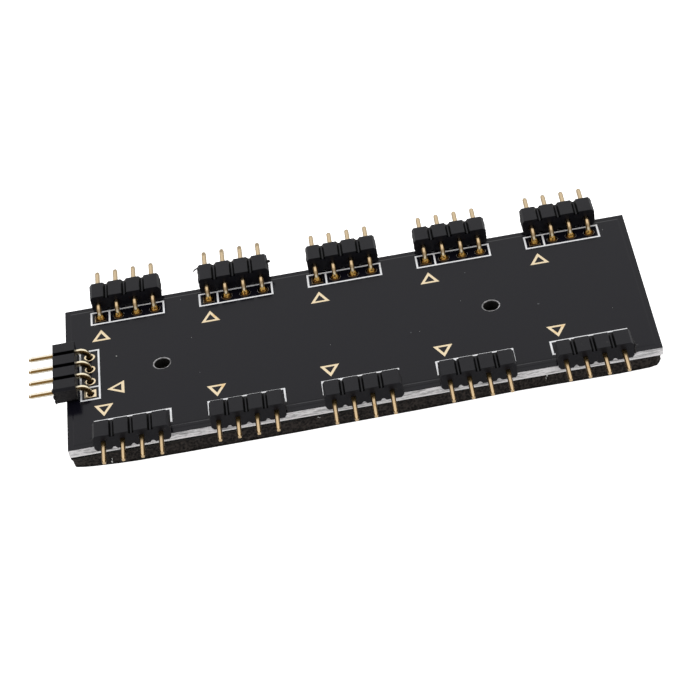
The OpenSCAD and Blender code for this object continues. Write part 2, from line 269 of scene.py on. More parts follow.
def dust_group():
    """Sparse fine dust: a mask of small round specks whose number follows Amount."""
    group, source, result = new_group(
        "fine_dust",
        [("Vector", "Vector", None), ("Amount", "Float", 0.1), ("Scale", "Float", 900.0)],
        [("Mask", "Float")],
    )
    cells = add_node(
        group, "TexVoronoi",
        {"Vector": source.outputs["Vector"], "Scale": source.outputs["Scale"], "Randomness": 1.0},
    )
    pick = add_node(group, "SeparateColor", {0: cells.outputs["Color"]})
    chosen = calc(group, "LESS_THAN", pick.outputs[0], source.outputs["Amount"])
    reach = calc(group, "MULTIPLY_ADD", pick.outputs[1], 0.16, 0.04)
    spot = calc(group, "LESS_THAN", cells.outputs["Distance"], reach)
    feed(group, result.inputs["Mask"], calc(group, "MULTIPLY", chosen, spot))
    return group


GROUP_MAKERS = {"grain": grain_group, "dust": dust_group}
GROUPS = {}


def effect(tree, kind, **values):
    """Places a shared effect in a material, on Object coordinates and with its own values."""
    if kind not in GROUPS:
        GROUPS[kind] = GROUP_MAKERS[kind]()
    node = tree.nodes.new("ShaderNodeGroup")
    node.node_tree = GROUPS[kind]
    for key, value in {"Vector": place(tree), **values}.items():
        feed(tree, node.inputs[key], value)
    return node.outputs


def drive(tree, shader, **sockets):
    """Links or sets a shader's sockets, named in lower case."""
    for key, value in sockets.items():
        feed(tree, shader.inputs[key.replace("_", " ").title().replace("Ior", "IOR")], value)


def new_material(name, **plain):
    """A material with a Principled shader, and the plain values of its sockets."""
    material = bpy.data.materials.new(name)
    material.use_nodes = True
    tree = material.node_tree
    shader = tree.nodes["Principled BSDF"]
    drive(tree, shader, **plain)
    return material, tree, shader


def bump(tree, shader, height, distance, strength=1.0):
    """Raises the surface by height times distance."""
    inputs = {"Height": height, "Distance": distance, "Strength": strength}
    feed(tree, shader.inputs["Normal"], add_node(tree, "Bump", inputs).outputs[0])


# Colours of stains, wear and dust, and of painted shade, painted highlights and painted reflection
PALE_DUST = (0.32, 0.33, 0.35)
RING_STAIN = (0.03, 0.03, 0.03)
HOLE_SHADE = (0.012, 0.011, 0.01)
FLUX_AMBER = (1.0, 0.62, 0.15)
FLUX_DARK = (0.2, 0.09, 0.02)
FAR_PAD_SHADE = (0.06, 0.035, 0.015)
BARREL_SHADE = (0.02, 0.012, 0.005)
UPRIGHT_HIGHLIGHT = (1.0, 0.88, 0.64)
KNEE_HIGHLIGHT = (1.0, 0.9, 0.66)
INPUT_HIGHLIGHT = (1.0, 0.93, 0.78)
INPUT_SHOULDER_SHADE = (0.32, 0.19, 0.06)
INPUT_CORNER_SHADE = (0.3, 0.18, 0.06)
ROOT_DARK_REFLECTION = (0.3, 0.2, 0.08)
FOOT_SHADE = (0.035, 0.02, 0.009)
TORN_PLASTIC = (0.09, 0.08, 0.072)
GROOVE_SHADE = (0.001, 0.001, 0.001)
FOAM_FLECK = (0.11, 0.09, 0.07)

# Edges of the zones that differ in tone, some of them by painted highlight and shade, in millimetres: along
# Y the far row's pads, the pins behind that row and the near row's pins, then round the input header
FAR_PADS = (11.0, 11.2)
BEHIND_FAR_ROW = (16.2, 16.6)
NEAR_ROOTS = (-14.0, -15.0)
INPUT_END = (-30.0, -31.0)
INPUT_SIDES = (9.0, 8.0)
OUTSIDE_INPUT = (-40.2, -40.5)


def lacquer_material():
    """Glossy black lacquer: it dips at the rim of the copper plane and carries a little dust."""
    board = board_settings()
    low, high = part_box("solder_mask_top")
    material, tree, shader = new_material("black_lacquer", specular_ior_level=0.2)
    drape = 0.09 * MM
    to_end = calc(tree, "SUBTRACT", high.x, calc(tree, "ABSOLUTE", coordinate(tree, X)))
    to_far = calc(tree, "SUBTRACT", high.y, coordinate(tree, Y))
    to_near = calc(tree, "SUBTRACT", coordinate(tree, Y), low.y)
    nearest = calc(tree, "MINIMUM", to_end, calc(tree, "MINIMUM", to_far, to_near))
    plane = ramp(tree, nearest, board.plane_inset - drape, board.plane_inset + drape)
    from_slot = calc(tree, "ABSOLUTE", calc(tree, "SUBTRACT", to_near, board.slot_inset))
    slot = ramp(tree, from_slot, 0.5 * drape, 2.2 * drape)
    slot_end = 2.0 * board.slot_inset
    past_slot = ramp(tree, to_end, slot_end, slot_end - drape)
    copper = product(tree, plane, calc(tree, "MAXIMUM", slot, past_slot))
    grain = effect(tree, "grain", Grain=2600.0, Patch=160.0)
    bump(tree, shader, calc(tree, "MULTIPLY_ADD", grain["Height"], 0.045, copper), board.relief)
    dust = product(tree, effect(tree, "dust", Amount=0.02, Scale=800.0)["Mask"], 0.2)
    rough = calc(tree, "MULTIPLY_ADD", grain["Patches"], 0.03, board.lacquer_roughness)
    drive(
        tree, shader,
        base_color=blend_colours(tree, dust, board.lacquer, PALE_DUST),
        roughness=calc(tree, "MULTIPLY_ADD", dust, 2.0, rough, clamp=True),
    )
    return material


def near_screw_holes(tree, extra):
    """A mask that is 1 within the screw holes' radius plus some millimetres, and 0 elsewhere."""
    inputs = {0: place(tree), 1: (1.0, 1.0, 0.0)}
    flat = add_node(tree, "VectorMath", inputs, operation="MULTIPLY").outputs[0]
    mask = 0.0
    for mount in frame["record"]["mounts"]:
        if mount["kind"] != "bore":
            continue
        inputs = {0: flat, 1: (*mount["pos_m"][:2], 0.0)}
        away = add_node(tree, "VectorMath", inputs, operation="DISTANCE").outputs["Value"]
        wall = (mount["dims"]["r_mm"] + extra) * MM
        mask = calc(tree, "MAXIMUM", mask, calc(tree, "LESS_THAN", away, wall))
    return mask


def laminate_material():
    """Sawn edge of glass laminate: streaks of fibre along the cut, paler on the scored lower part.
    The ring that the lacquer leaves bare carries a stain, and the walls of the holes carry painted shade."""
    board = board_settings()
    low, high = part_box("board_laminate")
    material, tree, shader = new_material("glass_laminate", specular_ior_level=0.35, roughness=0.6)
    height = coordinate(tree, Z)
    streaks = cloud(tree, stretched(tree, (0.2, 1.0, 1.9)), 2600.0, detail=5.0, roughness=0.75)
    slant = stretched(tree, (0.25, 1.0, 1.6), turn=28)
    strokes = cloud(tree, slant, 1900.0, detail=4.0, roughness=0.8)
    fibres = calc(tree, "MULTIPLY_ADD", strokes, 0.5, product(tree, streaks, 0.5))
    body = blend_colours(tree, ramp(tree, fibres, 0.39, 0.6), board.laminate_dark, board.laminate)
    scored = ramp(tree, height, low.z + 0.46 * MM, low.z + 0.32 * MM)
    lit = blend_colours(tree, scored, body, board.laminate_score)
    patchy = ramp(tree, cloud(tree, place(tree), 700.0, detail=2.0), 0.36, 0.6, 0.8, 0.3)
    ring = product(tree, near_screw_holes(tree, 0.3), patchy)
    stain_and_shade = blend_colours(tree, ring, lit, RING_STAIN)
    sunk = ramp(tree, height, high.z, high.z - 0.2 * MM)
    # Painted shade on the walls of the screw holes
    inside = product(tree, near_screw_holes(tree, 0.03), sunk)
    drive(tree, shader, base_color=blend_colours(tree, inside, stain_and_shade, HOLE_SHADE))
    bump(tree, shader, fibres, 0.05 * MM)
    return material


def print_material():
    """White print: a thin opaque ink with soft mottling and a slightly uneven face."""
    ink = board_settings().white_print
    material, tree, shader = new_material("white_ink", specular_ior_level=0.4, roughness=0.45)
    grain = effect(tree, "grain", Grain=6000.0, Patch=900.0)
    drive(tree, shader, base_color=blend_colours(tree, grain["Patches"], ink, dimmed(ink, 0.86)))
    bump(tree, shader, grain["Height"], 0.012 * MM)
    return material


def flux(tree):
    """Amber flux that stays round the pins of the far row, broken up by dark glints."""
    glints = ramp(tree, cloud(tree, place(tree), 3800.0, detail=2.0), 0.42, 0.52)
    return blend_colours(tree, glints, FLUX_DARK, FLUX_AMBER)


def plating_material():
    """Gold plating of the board: painted shade darkens it inside the holes and on the far row's rings, and
    amber flux covers the far row's holes and their inner edges.
    """
    board = board_settings()
    material, tree, shader = new_material("plated_copper", metallic=1.0)
    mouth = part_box("board_laminate")[1].z
    sunk = ramp(tree, coordinate(tree, Z), mouth + 0.03 * MM, mouth - 0.12 * MM)
    grain = effect(tree, "grain", Grain=7000.0, Patch=700.0)
    dull = ramp(tree, cloud(tree, place(tree), 420.0, detail=3.0), 0.6, 0.74)
    clean = blend_colours(tree, dull, board.gold, board.gold_dull)
    far = along(tree, Y, FAR_PADS)
    # Painted shade on the far row's rings, in front of their housings
    ring = product(tree, far, attribute(tree, "ring"))
    stain_and_shade = blend_colours(tree, ring, clean, FAR_PAD_SHADE)
    # Painted shade inside the plated holes
    hole_shaded = blend_colours(tree, sunk, stain_and_shade, BARREL_SHADE)
    amber = product(tree, far, calc(tree, "MAXIMUM", attribute(tree, "rim"), sunk))
    drive(
        tree, shader,
        base_color=blend_colours(tree, amber, hole_shaded, flux(tree)),
        metallic=calc(tree, "MULTIPLY_ADD", amber, -0.8, 1.0),
        roughness=calc(tree, "MULTIPLY_ADD", grain["Patches"], 0.08, 0.16),
    )
    bump(tree, shader, grain["Height"], 0.005 * MM)
    return material


def pin_axis_z():
    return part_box("in_pins")[1].z - header_settings().pin_side / 2


def upright_part(tree):
    """A mask of the part of the far row's pins between the board and the bend."""
    below = ramp(tree, coordinate(tree, Z), pin_axis_z() - 0.15 * MM, pin_axis_z() - 0.5 * MM)
    return product(tree, along(tree, Y, FAR_PADS), below)


def pin_tones(tree):
    """Colours of a pin's flat faces and of its long corners, header by header, with painted highlights on
    some faces and painted shade on the corners.
    """
    headers = header_settings()
    stains = ramp(tree, cloud(tree, place(tree), 540.0, detail=3.0), 0.62, 0.76)
    face = blend_colours(tree, stains, headers.pin_gold, headers.pin_stain)
    worn = ramp(tree, attribute(tree, "past_housing"), 3.1 * MM, 3.6 * MM)
    grey = blend_colours(tree, worn, headers.pin_grey, dimmed(headers.pin_grey, 0.55))
    behind = along(tree, Y, BEHIND_FAR_ROW)
    face = blend_colours(tree, behind, face, grey)
    # Painted shade on the corners: brown, and a dimmed grey behind the far row
    corner = blend_colours(tree, behind, headers.pin_corner_shade, dimmed(headers.pin_grey, 0.7))
    # Painted highlight on the upright part of the far row's pins
    face = blend_colours(tree, upright_part(tree), face, UPRIGHT_HIGHLIGHT)
    # Painted highlight on the knees of the input header's pins
    off_middle = calc(tree, "ABSOLUTE", coordinate(tree, Y))
    beside = ramp(tree, off_middle, *(edge * MM for edge in INPUT_SIDES))
    face = blend_colours(tree, product(tree, along(tree, X, INPUT_END), beside), face, KNEE_HIGHLIGHT)
    # Input pins outside the housing: a painted highlight, with a band of painted shade a little above the
    # middle
    line_z = pin_axis_z() + 0.13 * MM
    from_line = calc(tree, "ABSOLUTE", calc(tree, "SUBTRACT", coordinate(tree, Z), line_z))
    shoulder_shade = ramp(tree, from_line, 0.14 * MM, 0.1 * MM)
    outside = along(tree, X, OUTSIDE_INPUT)
    face = blend_colours(tree, outside, face, blend_colours(tree, shoulder_shade, INPUT_HIGHLIGHT, INPUT_SHOULDER_SHADE))
    return face, blend_colours(tree, outside, corner, INPUT_CORNER_SHADE)


def pin_material():
    """Gold-plated pins: bright flat faces and corners in painted shade, with a painted dark reflection where
    the near row leaves its housings and painted shade at the foot.
    """
    material, tree, shader = new_material("pin_plating", metallic=1.0)
    grain = effect(tree, "grain", Grain=7000.0, Patch=900.0)
    height = coordinate(tree, Z)
    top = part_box("copper_supply")[1].z
    body = blend_colours(tree, attribute(tree, "corner"), *pin_tones(tree))
    past = attribute(tree, "past_housing")
    # Painted reflection of the dark housing on the near row's pins, just outside it
    root = product(tree, ramp(tree, past, -0.5 * MM, -0.2 * MM), ramp(tree, past, 1.3 * MM, 0.6 * MM))
    root = product(tree, root, along(tree, Y, NEAR_ROOTS))
    body = blend_colours(tree, root, body, ROOT_DARK_REFLECTION)
    # Painted shade at the foot of each pin, just above its pad
    foot = ramp(tree, height, top + 0.45 * MM, top + 0.1 * MM)
    body = blend_colours(tree, foot, body, FOOT_SHADE)
    low_down = ramp(tree, height, top + 0.75 * MM, top + 0.5 * MM)
    amber = product(tree, along(tree, Y, FAR_PADS), low_down)
    rough = calc(tree, "MULTIPLY_ADD", grain["Patches"], 0.08, 0.24)
    drive(
        tree, shader,
        base_color=blend_colours(tree, amber, body, flux(tree)),
        metallic=calc(tree, "MULTIPLY_ADD", amber, -0.8, 1.0),
        roughness=calc(tree, "MULTIPLY_ADD", upright_part(tree), 0.3, rough),
    )
    bump(tree, shader, grain["Height"], 0.003 * MM)
    return material


def groove_shade_mask(tree):
    """A mask of the painted shade: black lines where the grooves between a housing's cells reach its top."""
    pitch = header_settings().pin_pitch
    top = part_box("in_housing")[1].z
    across = attribute(tree, "across")
    from_joint = calc(tree, "PINGPONG", across, pitch / 2)
    return product(
        tree,
        ramp(tree, from_joint, 0.085 * MM, 0.115 * MM),
        ramp(tree, from_joint, 0.36 * MM, 0.33 * MM),
        ramp(tree, coordinate(tree, Z), top - 0.42 * MM, top - 0.37 * MM),
        ramp(tree, calc(tree, "ABSOLUTE", across), 1.6 * pitch, 1.5 * pitch),
    )


def plastic_material():
    """Moulded black plastic: fine grain, a broken surface at the snapped ends, a trace of dust and painted
    shade in the grooves.
    """
    headers = header_settings()
    material, tree, shader = new_material("header_plastic", specular_ior_level=0.2)
    grain = effect(tree, "grain", Grain=5200.0, Patch=420.0)
    torn = attribute(tree, "torn")
    chips = cloud(tree, place(tree), 3600.0, detail=4.0, roughness=0.8)
    stress = product(tree, torn, ramp(tree, chips, 0.45, 0.7))
    dust = product(tree, effect(tree, "dust", Amount=0.05, Scale=900.0)["Mask"], 0.15)
    dusty = calc(tree, "MULTIPLY_ADD", torn, 0.12, dust)
    pale = calc(tree, "MULTIPLY_ADD", stress, 0.3, dusty, clamp=True)
    tone = blend_colours(tree, pale, headers.plastic, TORN_PLASTIC)
    # Painted shade in the grooves: black, and metallic so that it shows no sheen
    groove_shade = groove_shade_mask(tree)
    rough = calc(tree, "MULTIPLY_ADD", grain["Patches"], 0.08, 0.36)
    drive(
        tree, shader,
        base_color=blend_colours(tree, groove_shade, tone, GROOVE_SHADE),
        metallic=groove_shade,
        roughness=calc(tree, "MULTIPLY_ADD", torn, 0.25, rough, clamp=True),
    )
    rise = calc(tree, "MULTIPLY_ADD", product(tree, torn, chips), 3.0, grain["Height"])
    bump(tree, shader, rise, 0.014 * MM)
    return material


def grained_material(name, first, second, grain, patch, rough, spread, depth, **plain):
    """A plain finish in two tones, with its grain and patches per metre and its range of roughness."""
    material, tree, shader = new_material(name, **plain)
    marks = effect(tree, "grain", Grain=grain, Patch=patch)
    drive(
        tree, shader,
        base_color=blend_colours(tree, marks["Patches"], first, second),
        roughness=calc(tree, "MULTIPLY_ADD", marks["Patches"], spread, rough),
    )
    bump(tree, shader, marks["Height"], depth)
    return material


def solder_material():
    """Solder: bright tin with a frosted, slightly pitted skin."""
    return grained_material(
        "tin_solder", (0.72, 0.73, 0.75), (0.5, 0.5, 0.5), grain=5000.0, patch=900.0,
        rough=0.22, spread=0.2, depth=0.02 * MM, metallic=1.0,
    )


def adhesive_material():
    """Film of black adhesive with a faint mottle."""
    return grained_material(
        "adhesive_film", (0.012, 0.011, 0.01), (0.03, 0.027, 0.024), grain=4200.0, patch=1500.0,
        rough=0.45, spread=0.25, depth=0.012 * MM, specular_ior_level=0.25,
    )


def foam_material():
    """Black-brown foam: pale cell walls round open pores in painted shade, and painted shade along its upper
    and lower edges.
    """
    foam = bpy.context.scene.hub_foam
    material, tree, shader = new_material("cut_foam", specular_ior_level=0.3, roughness=0.85)
    inputs = {"Vector": place(tree), "Scale": 0.7 / foam.cell}
    cells = add_node(tree, "TexVoronoi", inputs).outputs["Distance"]
    walls = ramp(tree, cells, 0.18, 0.62)
    # The opened cells take the colour of the painted shade
    open_pore = calc(tree, "SUBTRACT", 1.0, attribute(tree, "pore_shade"))
    tone = blend_colours(tree, product(tree, open_pore, walls), foam.pore_shade, foam.foam)
    flecks = product(tree, effect(tree, "dust", Amount=0.1, Scale=1600.0)["Mask"], 0.5)
    flecked = blend_colours(tree, flecks, tone, FOAM_FLECK)
    low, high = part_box("foam_pad")
    height = coordinate(tree, Z)
    # Painted shade along the top, under the board, and along the bottom
    upper_rim = ramp(tree, height, high.z - 0.3 * MM, high.z)
    lower_rim = ramp(tree, height, low.z + 0.25 * MM, low.z)
    rim_shade = product(tree, calc(tree, "MAXIMUM", upper_rim, lower_rim), 0.75)
    drive(tree, shader, base_color=blend_colours(tree, rim_shade, flecked, foam.pore_shade))
    bump(tree, shader, calc(tree, "ADD", walls, cloud(tree, place(tree), 7000.0)), 0.06 * MM)
    return material


def fleck_material(name, tint, shade):
    """Loose bits such as dust or torn film."""
    material, tree, shader = new_material(name, specular_ior_level=0.3, roughness=0.7)
    drive(tree, shader, base_color=blend_colours(tree, cloud(tree, place(tree), 6000.0), tint, shade))
    return material


# Pieces

def new_object(bm, name, material):
    """Turns a bmesh into an object at the origin."""
    mesh = bpy.data.meshes.new(name)
    bm.to_mesh(mesh)
    bm.free()
    mesh.materials.append(material)
    made = bpy.data.objects.new(name, mesh)
    bpy.context.scene.collection.objects.link(made)
    return made


def finish_piece(bm, name, material, sharp_degrees=32.0, flat_faces=False):
    """Turns a bmesh into a piece that rides with the hub.
    With flat_faces, only the rounded edges shade smoothly and the faces between them stay flat."""
    bmesh.ops.recalc_face_normals(bm, faces=bm.faces)
    piece = new_object(bm, name, material)
    piece.data.polygons.foreach_set("use_smooth", [True] * len(piece.data.polygons))
    piece.data.set_sharp_from_angle(angle=math.radians(sharp_degrees))
    if flat_faces:
        normals = piece.modifiers.new("flat_faces", "WEIGHTED_NORMAL")
        normals.keep_sharp = True
    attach(piece, BODY)
    return piece


def merged_copy(node):
    """A clean bmesh of a CAD node: triangles joined, flat faces dissolved."""
    bm = bmesh.new()
    bm.from_mesh(frame["nodes"][node].data)
    bmesh.ops.remove_doubles(bm, verts=bm.verts, dist=0.0005 * MM)
    bmesh.ops.dissolve_limit(bm, angle_limit=math.radians(0.5), verts=bm.verts, edges=bm.edges)
    return bm


def dress(material, *nodes):
    """Gives CAD nodes their finish."""
    for node in nodes:
        mesh = frame["nodes"][node].data
        mesh.materials.clear()
        mesh.materials.append(material)


def header_place(name):
    """A header's own frame, with pins along +Y from the middle of its pads, and the reach of its pins."""
    low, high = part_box(f"{name}_pins")
    turn = Matrix.Rotation(math.radians(HEADER_TURNS[name]), 4, "Z")
    ahead = turn @ Vector((0.0, 1.0, 0.0))
    middle = (low + high) / 2
    size = high - low
    run = abs(size.dot(ahead))
    half = header_settings().pin_side / 2
    origin = middle - ahead * (run / 2 - half)
    origin.z = 0.0
    return Matrix.Translation(origin) @ turn, run - half


def pin_places():
    """Where a header's pins stand along its own X, first to last."""
    pitch = header_settings().pin_pitch
    return [(i - (PINS_PER_HEADER - 1) / 2) * pitch for i in range(PINS_PER_HEADER)]


def extrude_face(bm, face, shift, scale=1.0, plane="XY"):
    """Extrudes one face, moves it and scales it about its middle. Returns the new face."""
    made = bmesh.ops.extrude_face_region(bm, geom=[face])["geom"]
    top = next(item for item in made if isinstance(item, bmesh.types.BMFace))
    bmesh.ops.translate(bm, verts=top.verts, vec=shift)
    middle = top.calc_center_median()
    factors = (scale, scale, 1.0) if plane == "XY" else (scale, 1.0, scale)
    bmesh.ops.scale(bm, verts=top.verts, vec=factors, space=Matrix.Translation(-middle))
    return top


def add_pin(bm, x, reach, low_z, axis_z):
    """One bent square pin with rounded corners, from its tail up through the bend to its tip."""
    headers = header_settings()
    taper = headers.tip_side / headers.pin_side
    bend_z = axis_z - headers.bend_radius
    start = bmesh.ops.create_circle(
        bm, cap_ends=True, segments=4, radius=headers.pin_side / math.sqrt(2),
        matrix=Matrix.Translation((x, 0.0, low_z)) @ Matrix.Rotation(math.radians(45), 4, "Z"),
    )
    rounded = bmesh.ops.bevel(
        bm, geom=start["verts"], offset=headers.pin_corner, offset_type="OFFSET", affect="VERTICES",
        segments=3, profile=0.5, material=-1, clamp_overlap=True,
    )
    face = rounded["verts"][0].link_faces[0]
    bmesh.ops.scale(
        bm, verts=face.verts, vec=(taper, taper, 1.0), space=Matrix.Translation((-x, 0.0, -low_z))
    )
    face = extrude_face(bm, face, (0.0, 0.0, headers.tip_length), 1.0 / taper)
    face = extrude_face(bm, face, (0.0, 0.0, bend_z - low_z - headers.tip_length))
    spun = bmesh.ops.spin(
        bm, geom=[face, *face.edges, *face.verts], cent=(x, headers.bend_radius, bend_z),
        axis=(-1.0, 0.0, 0.0), angle=math.radians(90), steps=headers.bend_steps,
    )["geom_last"]
    face = next(item for item in spun if isinstance(item, bmesh.types.BMFace))
    straight = reach - headers.bend_radius - headers.tip_length
    face = extrude_face(bm, face, (0.0, straight, 0.0))
    extrude_face(bm, face, (0.0, headers.tip_length, 0.0), taper, plane="XZ")


def is_shaded_corner(face, front, is_input):
    """Whether a pin's face is one of its corners in painted shade. The housing ends at front."""
    normal = face.normal
    # On the input header the painted shade falls on the faces toward the near side
    if is_input and face.calc_center_median().y <= front - 1.5 * MM:
        return normal.x < -0.2
    slanted = 0.2 < abs(normal.x) < 0.98
    if is_input:
        return slanted and abs(normal.y) < 0.2 and normal.z > -0.2
    return slanted


def header_pins(name, material):
    """Four rounded pins that stand for a header's plain ones."""
    matrix, reach = header_place(name)
    low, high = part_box(f"{name}_pins")
    axis_z = high.z - header_settings().pin_side / 2
    bm = bmesh.new()
    for x in pin_places():
        add_pin(bm, x, reach, low.z, axis_z)
    bmesh.ops.remove_doubles(bm, verts=bm.verts, dist=0.001 * MM)
    bm.normal_update()
    past = bm.verts.layers.float.new("past_housing")
    corner = bm.faces.layers.float.new("corner")
    back = matrix.inverted()
    front = max((back @ spot).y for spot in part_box(f"{name}_housing"))
    for vert in bm.verts:
        vert[past] = vert.co.y - front
    for face in bm.faces:
        face[corner] = float(is_shaded_corner(face, front, name == "in"))
    bmesh.ops.transform(bm, matrix=matrix, verts=bm.verts)
    piece = finish_piece(bm, f"{name}_pins_plated", material, flat_faces=True)
    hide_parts(f"{name}_pins")


def roughen_end(bm, side, torn, seed):
    """Makes the snapped end of a housing uneven, and marks it as torn."""
    depth = header_settings().tear_depth
    level, wave = 0.01 * MM, 0.55 * MM
    outward = [face for face in bm.faces if face.normal.x * side > 0.99]
    reach = max(side * face.calc_center_median().x for face in outward)
    ends = [face for face in outward if side * face.calc_center_median().x > reach - level]
    end = max(ends, key=lambda face: face.calc_area())
    bmesh.ops.inset_region(bm, faces=[end], thickness=0.1 * MM, use_even_offset=True)
    bmesh.ops.subdivide_edges(bm, edges=end.edges, cuts=9, use_grid_fill=True)
    inner = {vert for face in bm.faces if face.normal.x * side > 0.99 for vert in face.verts}
    for vert in [vert for vert in inner if side * vert.co.x > reach - level]:
        vert[torn] = 1.0
        if all(face.normal.x * side >= 0.9 for face in vert.link_faces):
            spot = vert.co / wave + Vector((seed, 0.0, 0.0))
            vert.co.x += side * depth * (noise.fractal(spot, 0.6, 2.0, 4) + 0.25)


# Millimetres by which the snapped ends of some housings are short, or long where negative
END_TRIMS = {
    ("out_1", -1): 0.2, ("out_2", -1): 0.18, ("out_3", -1): 0.22, ("out_4", 1): -0.08,
    ("out_6", 1): -0.1, ("out_7", 1): 0.14, ("out_8", -1): -0.24, ("out_9", -1): 0.02,
    ("out_10", 1): 0.18, ("out_10", -1): -0.14,
}


# How far the face of a housing over the board and its outer face stand out of line, in millimetres
FACE_PLAY = {
    "out_1": (-0.06, 0.08), "out_2": (-0.22, 0.13), "out_3": (0.06, 0.09), "out_4": (0.08, -0.06),
    "out_5": (0.1, 0.07), "out_6": (0.02, 0.08), "out_7": (-0.055, -0.13), "out_8": (-0.03, -0.15),
    "out_9": (-0.035, -0.11), "out_10": (0.055, -0.06),
}


def stretch_depth(bm, name):
    """Moves the two long faces of a housing by their play."""
    inner, outer = (play * MM for play in FACE_PLAY.get(name, (0.0, 0.0)))
    start = min(vert.co.y for vert in bm.verts)
    depth = max(vert.co.y for vert in bm.verts) - start
    for vert in bm.verts:
        vert.co.y += inner + (outer - inner) * (vert.co.y - start) / depth


def moulded_edges(bm):
    """The sharp edges of a housing, apart from those round its pins."""
    hole = header_settings().pin_side * 0.6
    heights = [vert.co.z for vert in bm.verts]
    middle_z = (max(heights) + min(heights)) / 2
    chosen = []
    for edge in bm.edges:
        if not edge.is_manifold or edge.calc_face_angle() < math.radians(20):
            continue
        middle = (edge.verts[0].co + edge.verts[1].co) / 2
        beside_pin = any(abs(middle.x - x) < hole for x in pin_places())
        if not beside_pin or abs(middle.z - middle_z) >= hole:
            chosen.append(edge)
    return chosen


def header_housing(name, material, seed):
    """A housing with moulded round edges and snapped ends, that stands for the plain one."""
    matrix, _ = header_place(name)
    bm = merged_copy(f"{name}_housing")
    bmesh.ops.transform(bm, matrix=matrix.inverted(), verts=bm.verts)
    bm.normal_update()
    torn = bm.verts.layers.float.new("torn")
    end = max(v.co.x for v in bm.verts)
    for side in (-1, 1):
        for vert in bm.verts:
            if side * vert.co.x > end - 0.4 * MM:
                vert.co.x -= side * END_TRIMS.get((name, side), 0.0) * MM
    bmesh.ops.bevel(
        bm, geom=moulded_edges(bm), offset=header_settings().housing_edge, offset_type="OFFSET",
        affect="EDGES", segments=2, profile=0.5, material=-1, clamp_overlap=True,
    )
    bm.normal_update()
    across = bm.verts.layers.float.new("across")
    for vert in bm.verts:
        vert[across] = vert.co.x
    stretch_depth(bm, name)
    for side in (-1, 1):
        roughen_end(bm, side, torn, seed + 10 * side)
    bmesh.ops.transform(bm, matrix=matrix, verts=bm.verts)
    piece = finish_piece(bm, f"{name}_housing_moulding", material, flat_faces=True)
    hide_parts(f"{name}_housing")


def add_pad_ring(bm, x, base_z, square):
    """Plated ring of one pad, bulged by the plating. The first pin's ring is square."""
    board = board_settings()
    rise, inner, outer = board.pad_rise, board.pad_hole / 2, board.pad_width / 2
    base = -0.02 * MM
    profile = [
        (inner, base), (inner, 0.45 * rise), (inner + 0.03 * MM, 0.85 * rise), (inner + 0.08 * MM, rise),
        (outer - 0.04 * MM, 0.8 * rise), (outer, 0.3 * rise), (outer, base),
    ]
    verts = [bm.verts.new((x + r, 0.0, base_z + z)) for r, z in profile]
    edges = [bm.edges.new((verts[i], verts[i + 1])) for i in range(len(verts) - 1)]
    edges.append(bm.edges.new((verts[-1], verts[0])))
    before = set(bm.verts) - set(verts)
    bmesh.ops.spin(
        bm, geom=[*verts, *edges], cent=(x, 0.0, base_z), axis=(0.0, 0.0, 1.0),
        angle=math.tau, steps=40, use_merge=True,
    )
    if not square:
        return
    for vert in set(bm.verts) - before:
        offset = Vector((vert.co.x - x, vert.co.y))
        radius = offset.length
        share = (radius - inner) / (outer - inner)
        reach = outer / max(abs(offset.x), abs(offset.y)) * radius
        grown = radius + share * (reach - outer)
        offset *= grown / radius
        vert.co.x, vert.co.y = x + offset.x, offset.y


def header_pads(name, material):
    """The four plated rings of one header."""
    matrix, _ = header_place(name)
    base_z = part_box("copper_supply")[1].z
    places = pin_places()
    first = places[-1] if HEADER_TURNS[name] == 180 else places[0]
    bm = bmesh.new()
    for x in places:
        add_pad_ring(bm, x, base_z, square=x == first)
    rim = bm.verts.layers.float.new("rim")
    ring = bm.verts.layers.float.new("ring")
    for vert in bm.verts:
        away = min(math.hypot(vert.co.x - x, vert.co.y) for x in places)
        vert[rim] = float(away < board_settings().pad_hole / 2 + 0.01 * MM)
        vert[ring] = 1.0
    bmesh.ops.transform(bm, matrix=matrix, verts=bm.verts)
    finish_piece(bm, f"{name}_pad_rings", material, sharp_degrees=60.0)


# Foam

def foam_outline():
    """Corners of the foam's underside, in order."""
    bm = merged_copy("foam_pad")
    floor = min(v.co.z for v in bm.verts)
    under = [f for f in bm.faces if f.normal.z < -0.99 and f.calc_center_median().z < floor + 0.01 * MM]
    if len(under) > 1:
        under = bmesh.ops.dissolve_faces(bm, faces=under)["region"]
    corners = [vert.co.copy() for vert in under[0].verts]
    bm.free()
    return corners


def closed_loop(bm, corners):
    """Edges of a closed line through the corners."""
    verts = [bm.verts.new(corner) for corner in corners]
    return [bm.edges.new((verts[i - 1], verts[i])) for i in range(len(verts))]


def open_cells(bm, pore_shade, low_z, high_z):
    """Pushes the cut side in where the knife has opened cells, and lets it wander a little."""
    foam = bpy.context.scene.hub_foam
    wave, swing = 2.6 * MM, 0.12 * MM
    grain, grit = 0.16 * MM, 0.02 * MM
    rim, lift = 0.05 * MM, 0.03 * MM
    bm.normal_update()
    moves = {}
    for vert in bm.verts:
        outward = Vector((vert.normal.x, vert.normal.y, 0.0)).normalized()
        spot = vert.co / foam.cell
        nearest, _ = noise.voronoi(spot)
        opened = max(0.0, 1.0 - nearest[0] / 0.62)
        wander = noise.fractal(vert.co / wave, 0.7, 2.0, 3) * swing
        wander += noise.noise(vert.co / grain) * grit
        vert[pore_shade] = min(1.0, opened * 1.4)
        moves[vert] = outward * (wander - foam.cell_depth * opened)
        if min(vert.co.z - low_z, high_z - vert.co.z) > rim:
            moves[vert].z = noise.noise(spot * 1.7) * lift
    for vert, move in moves.items():
        vert.co += move
    slant_corner(bm, low_z, high_z)


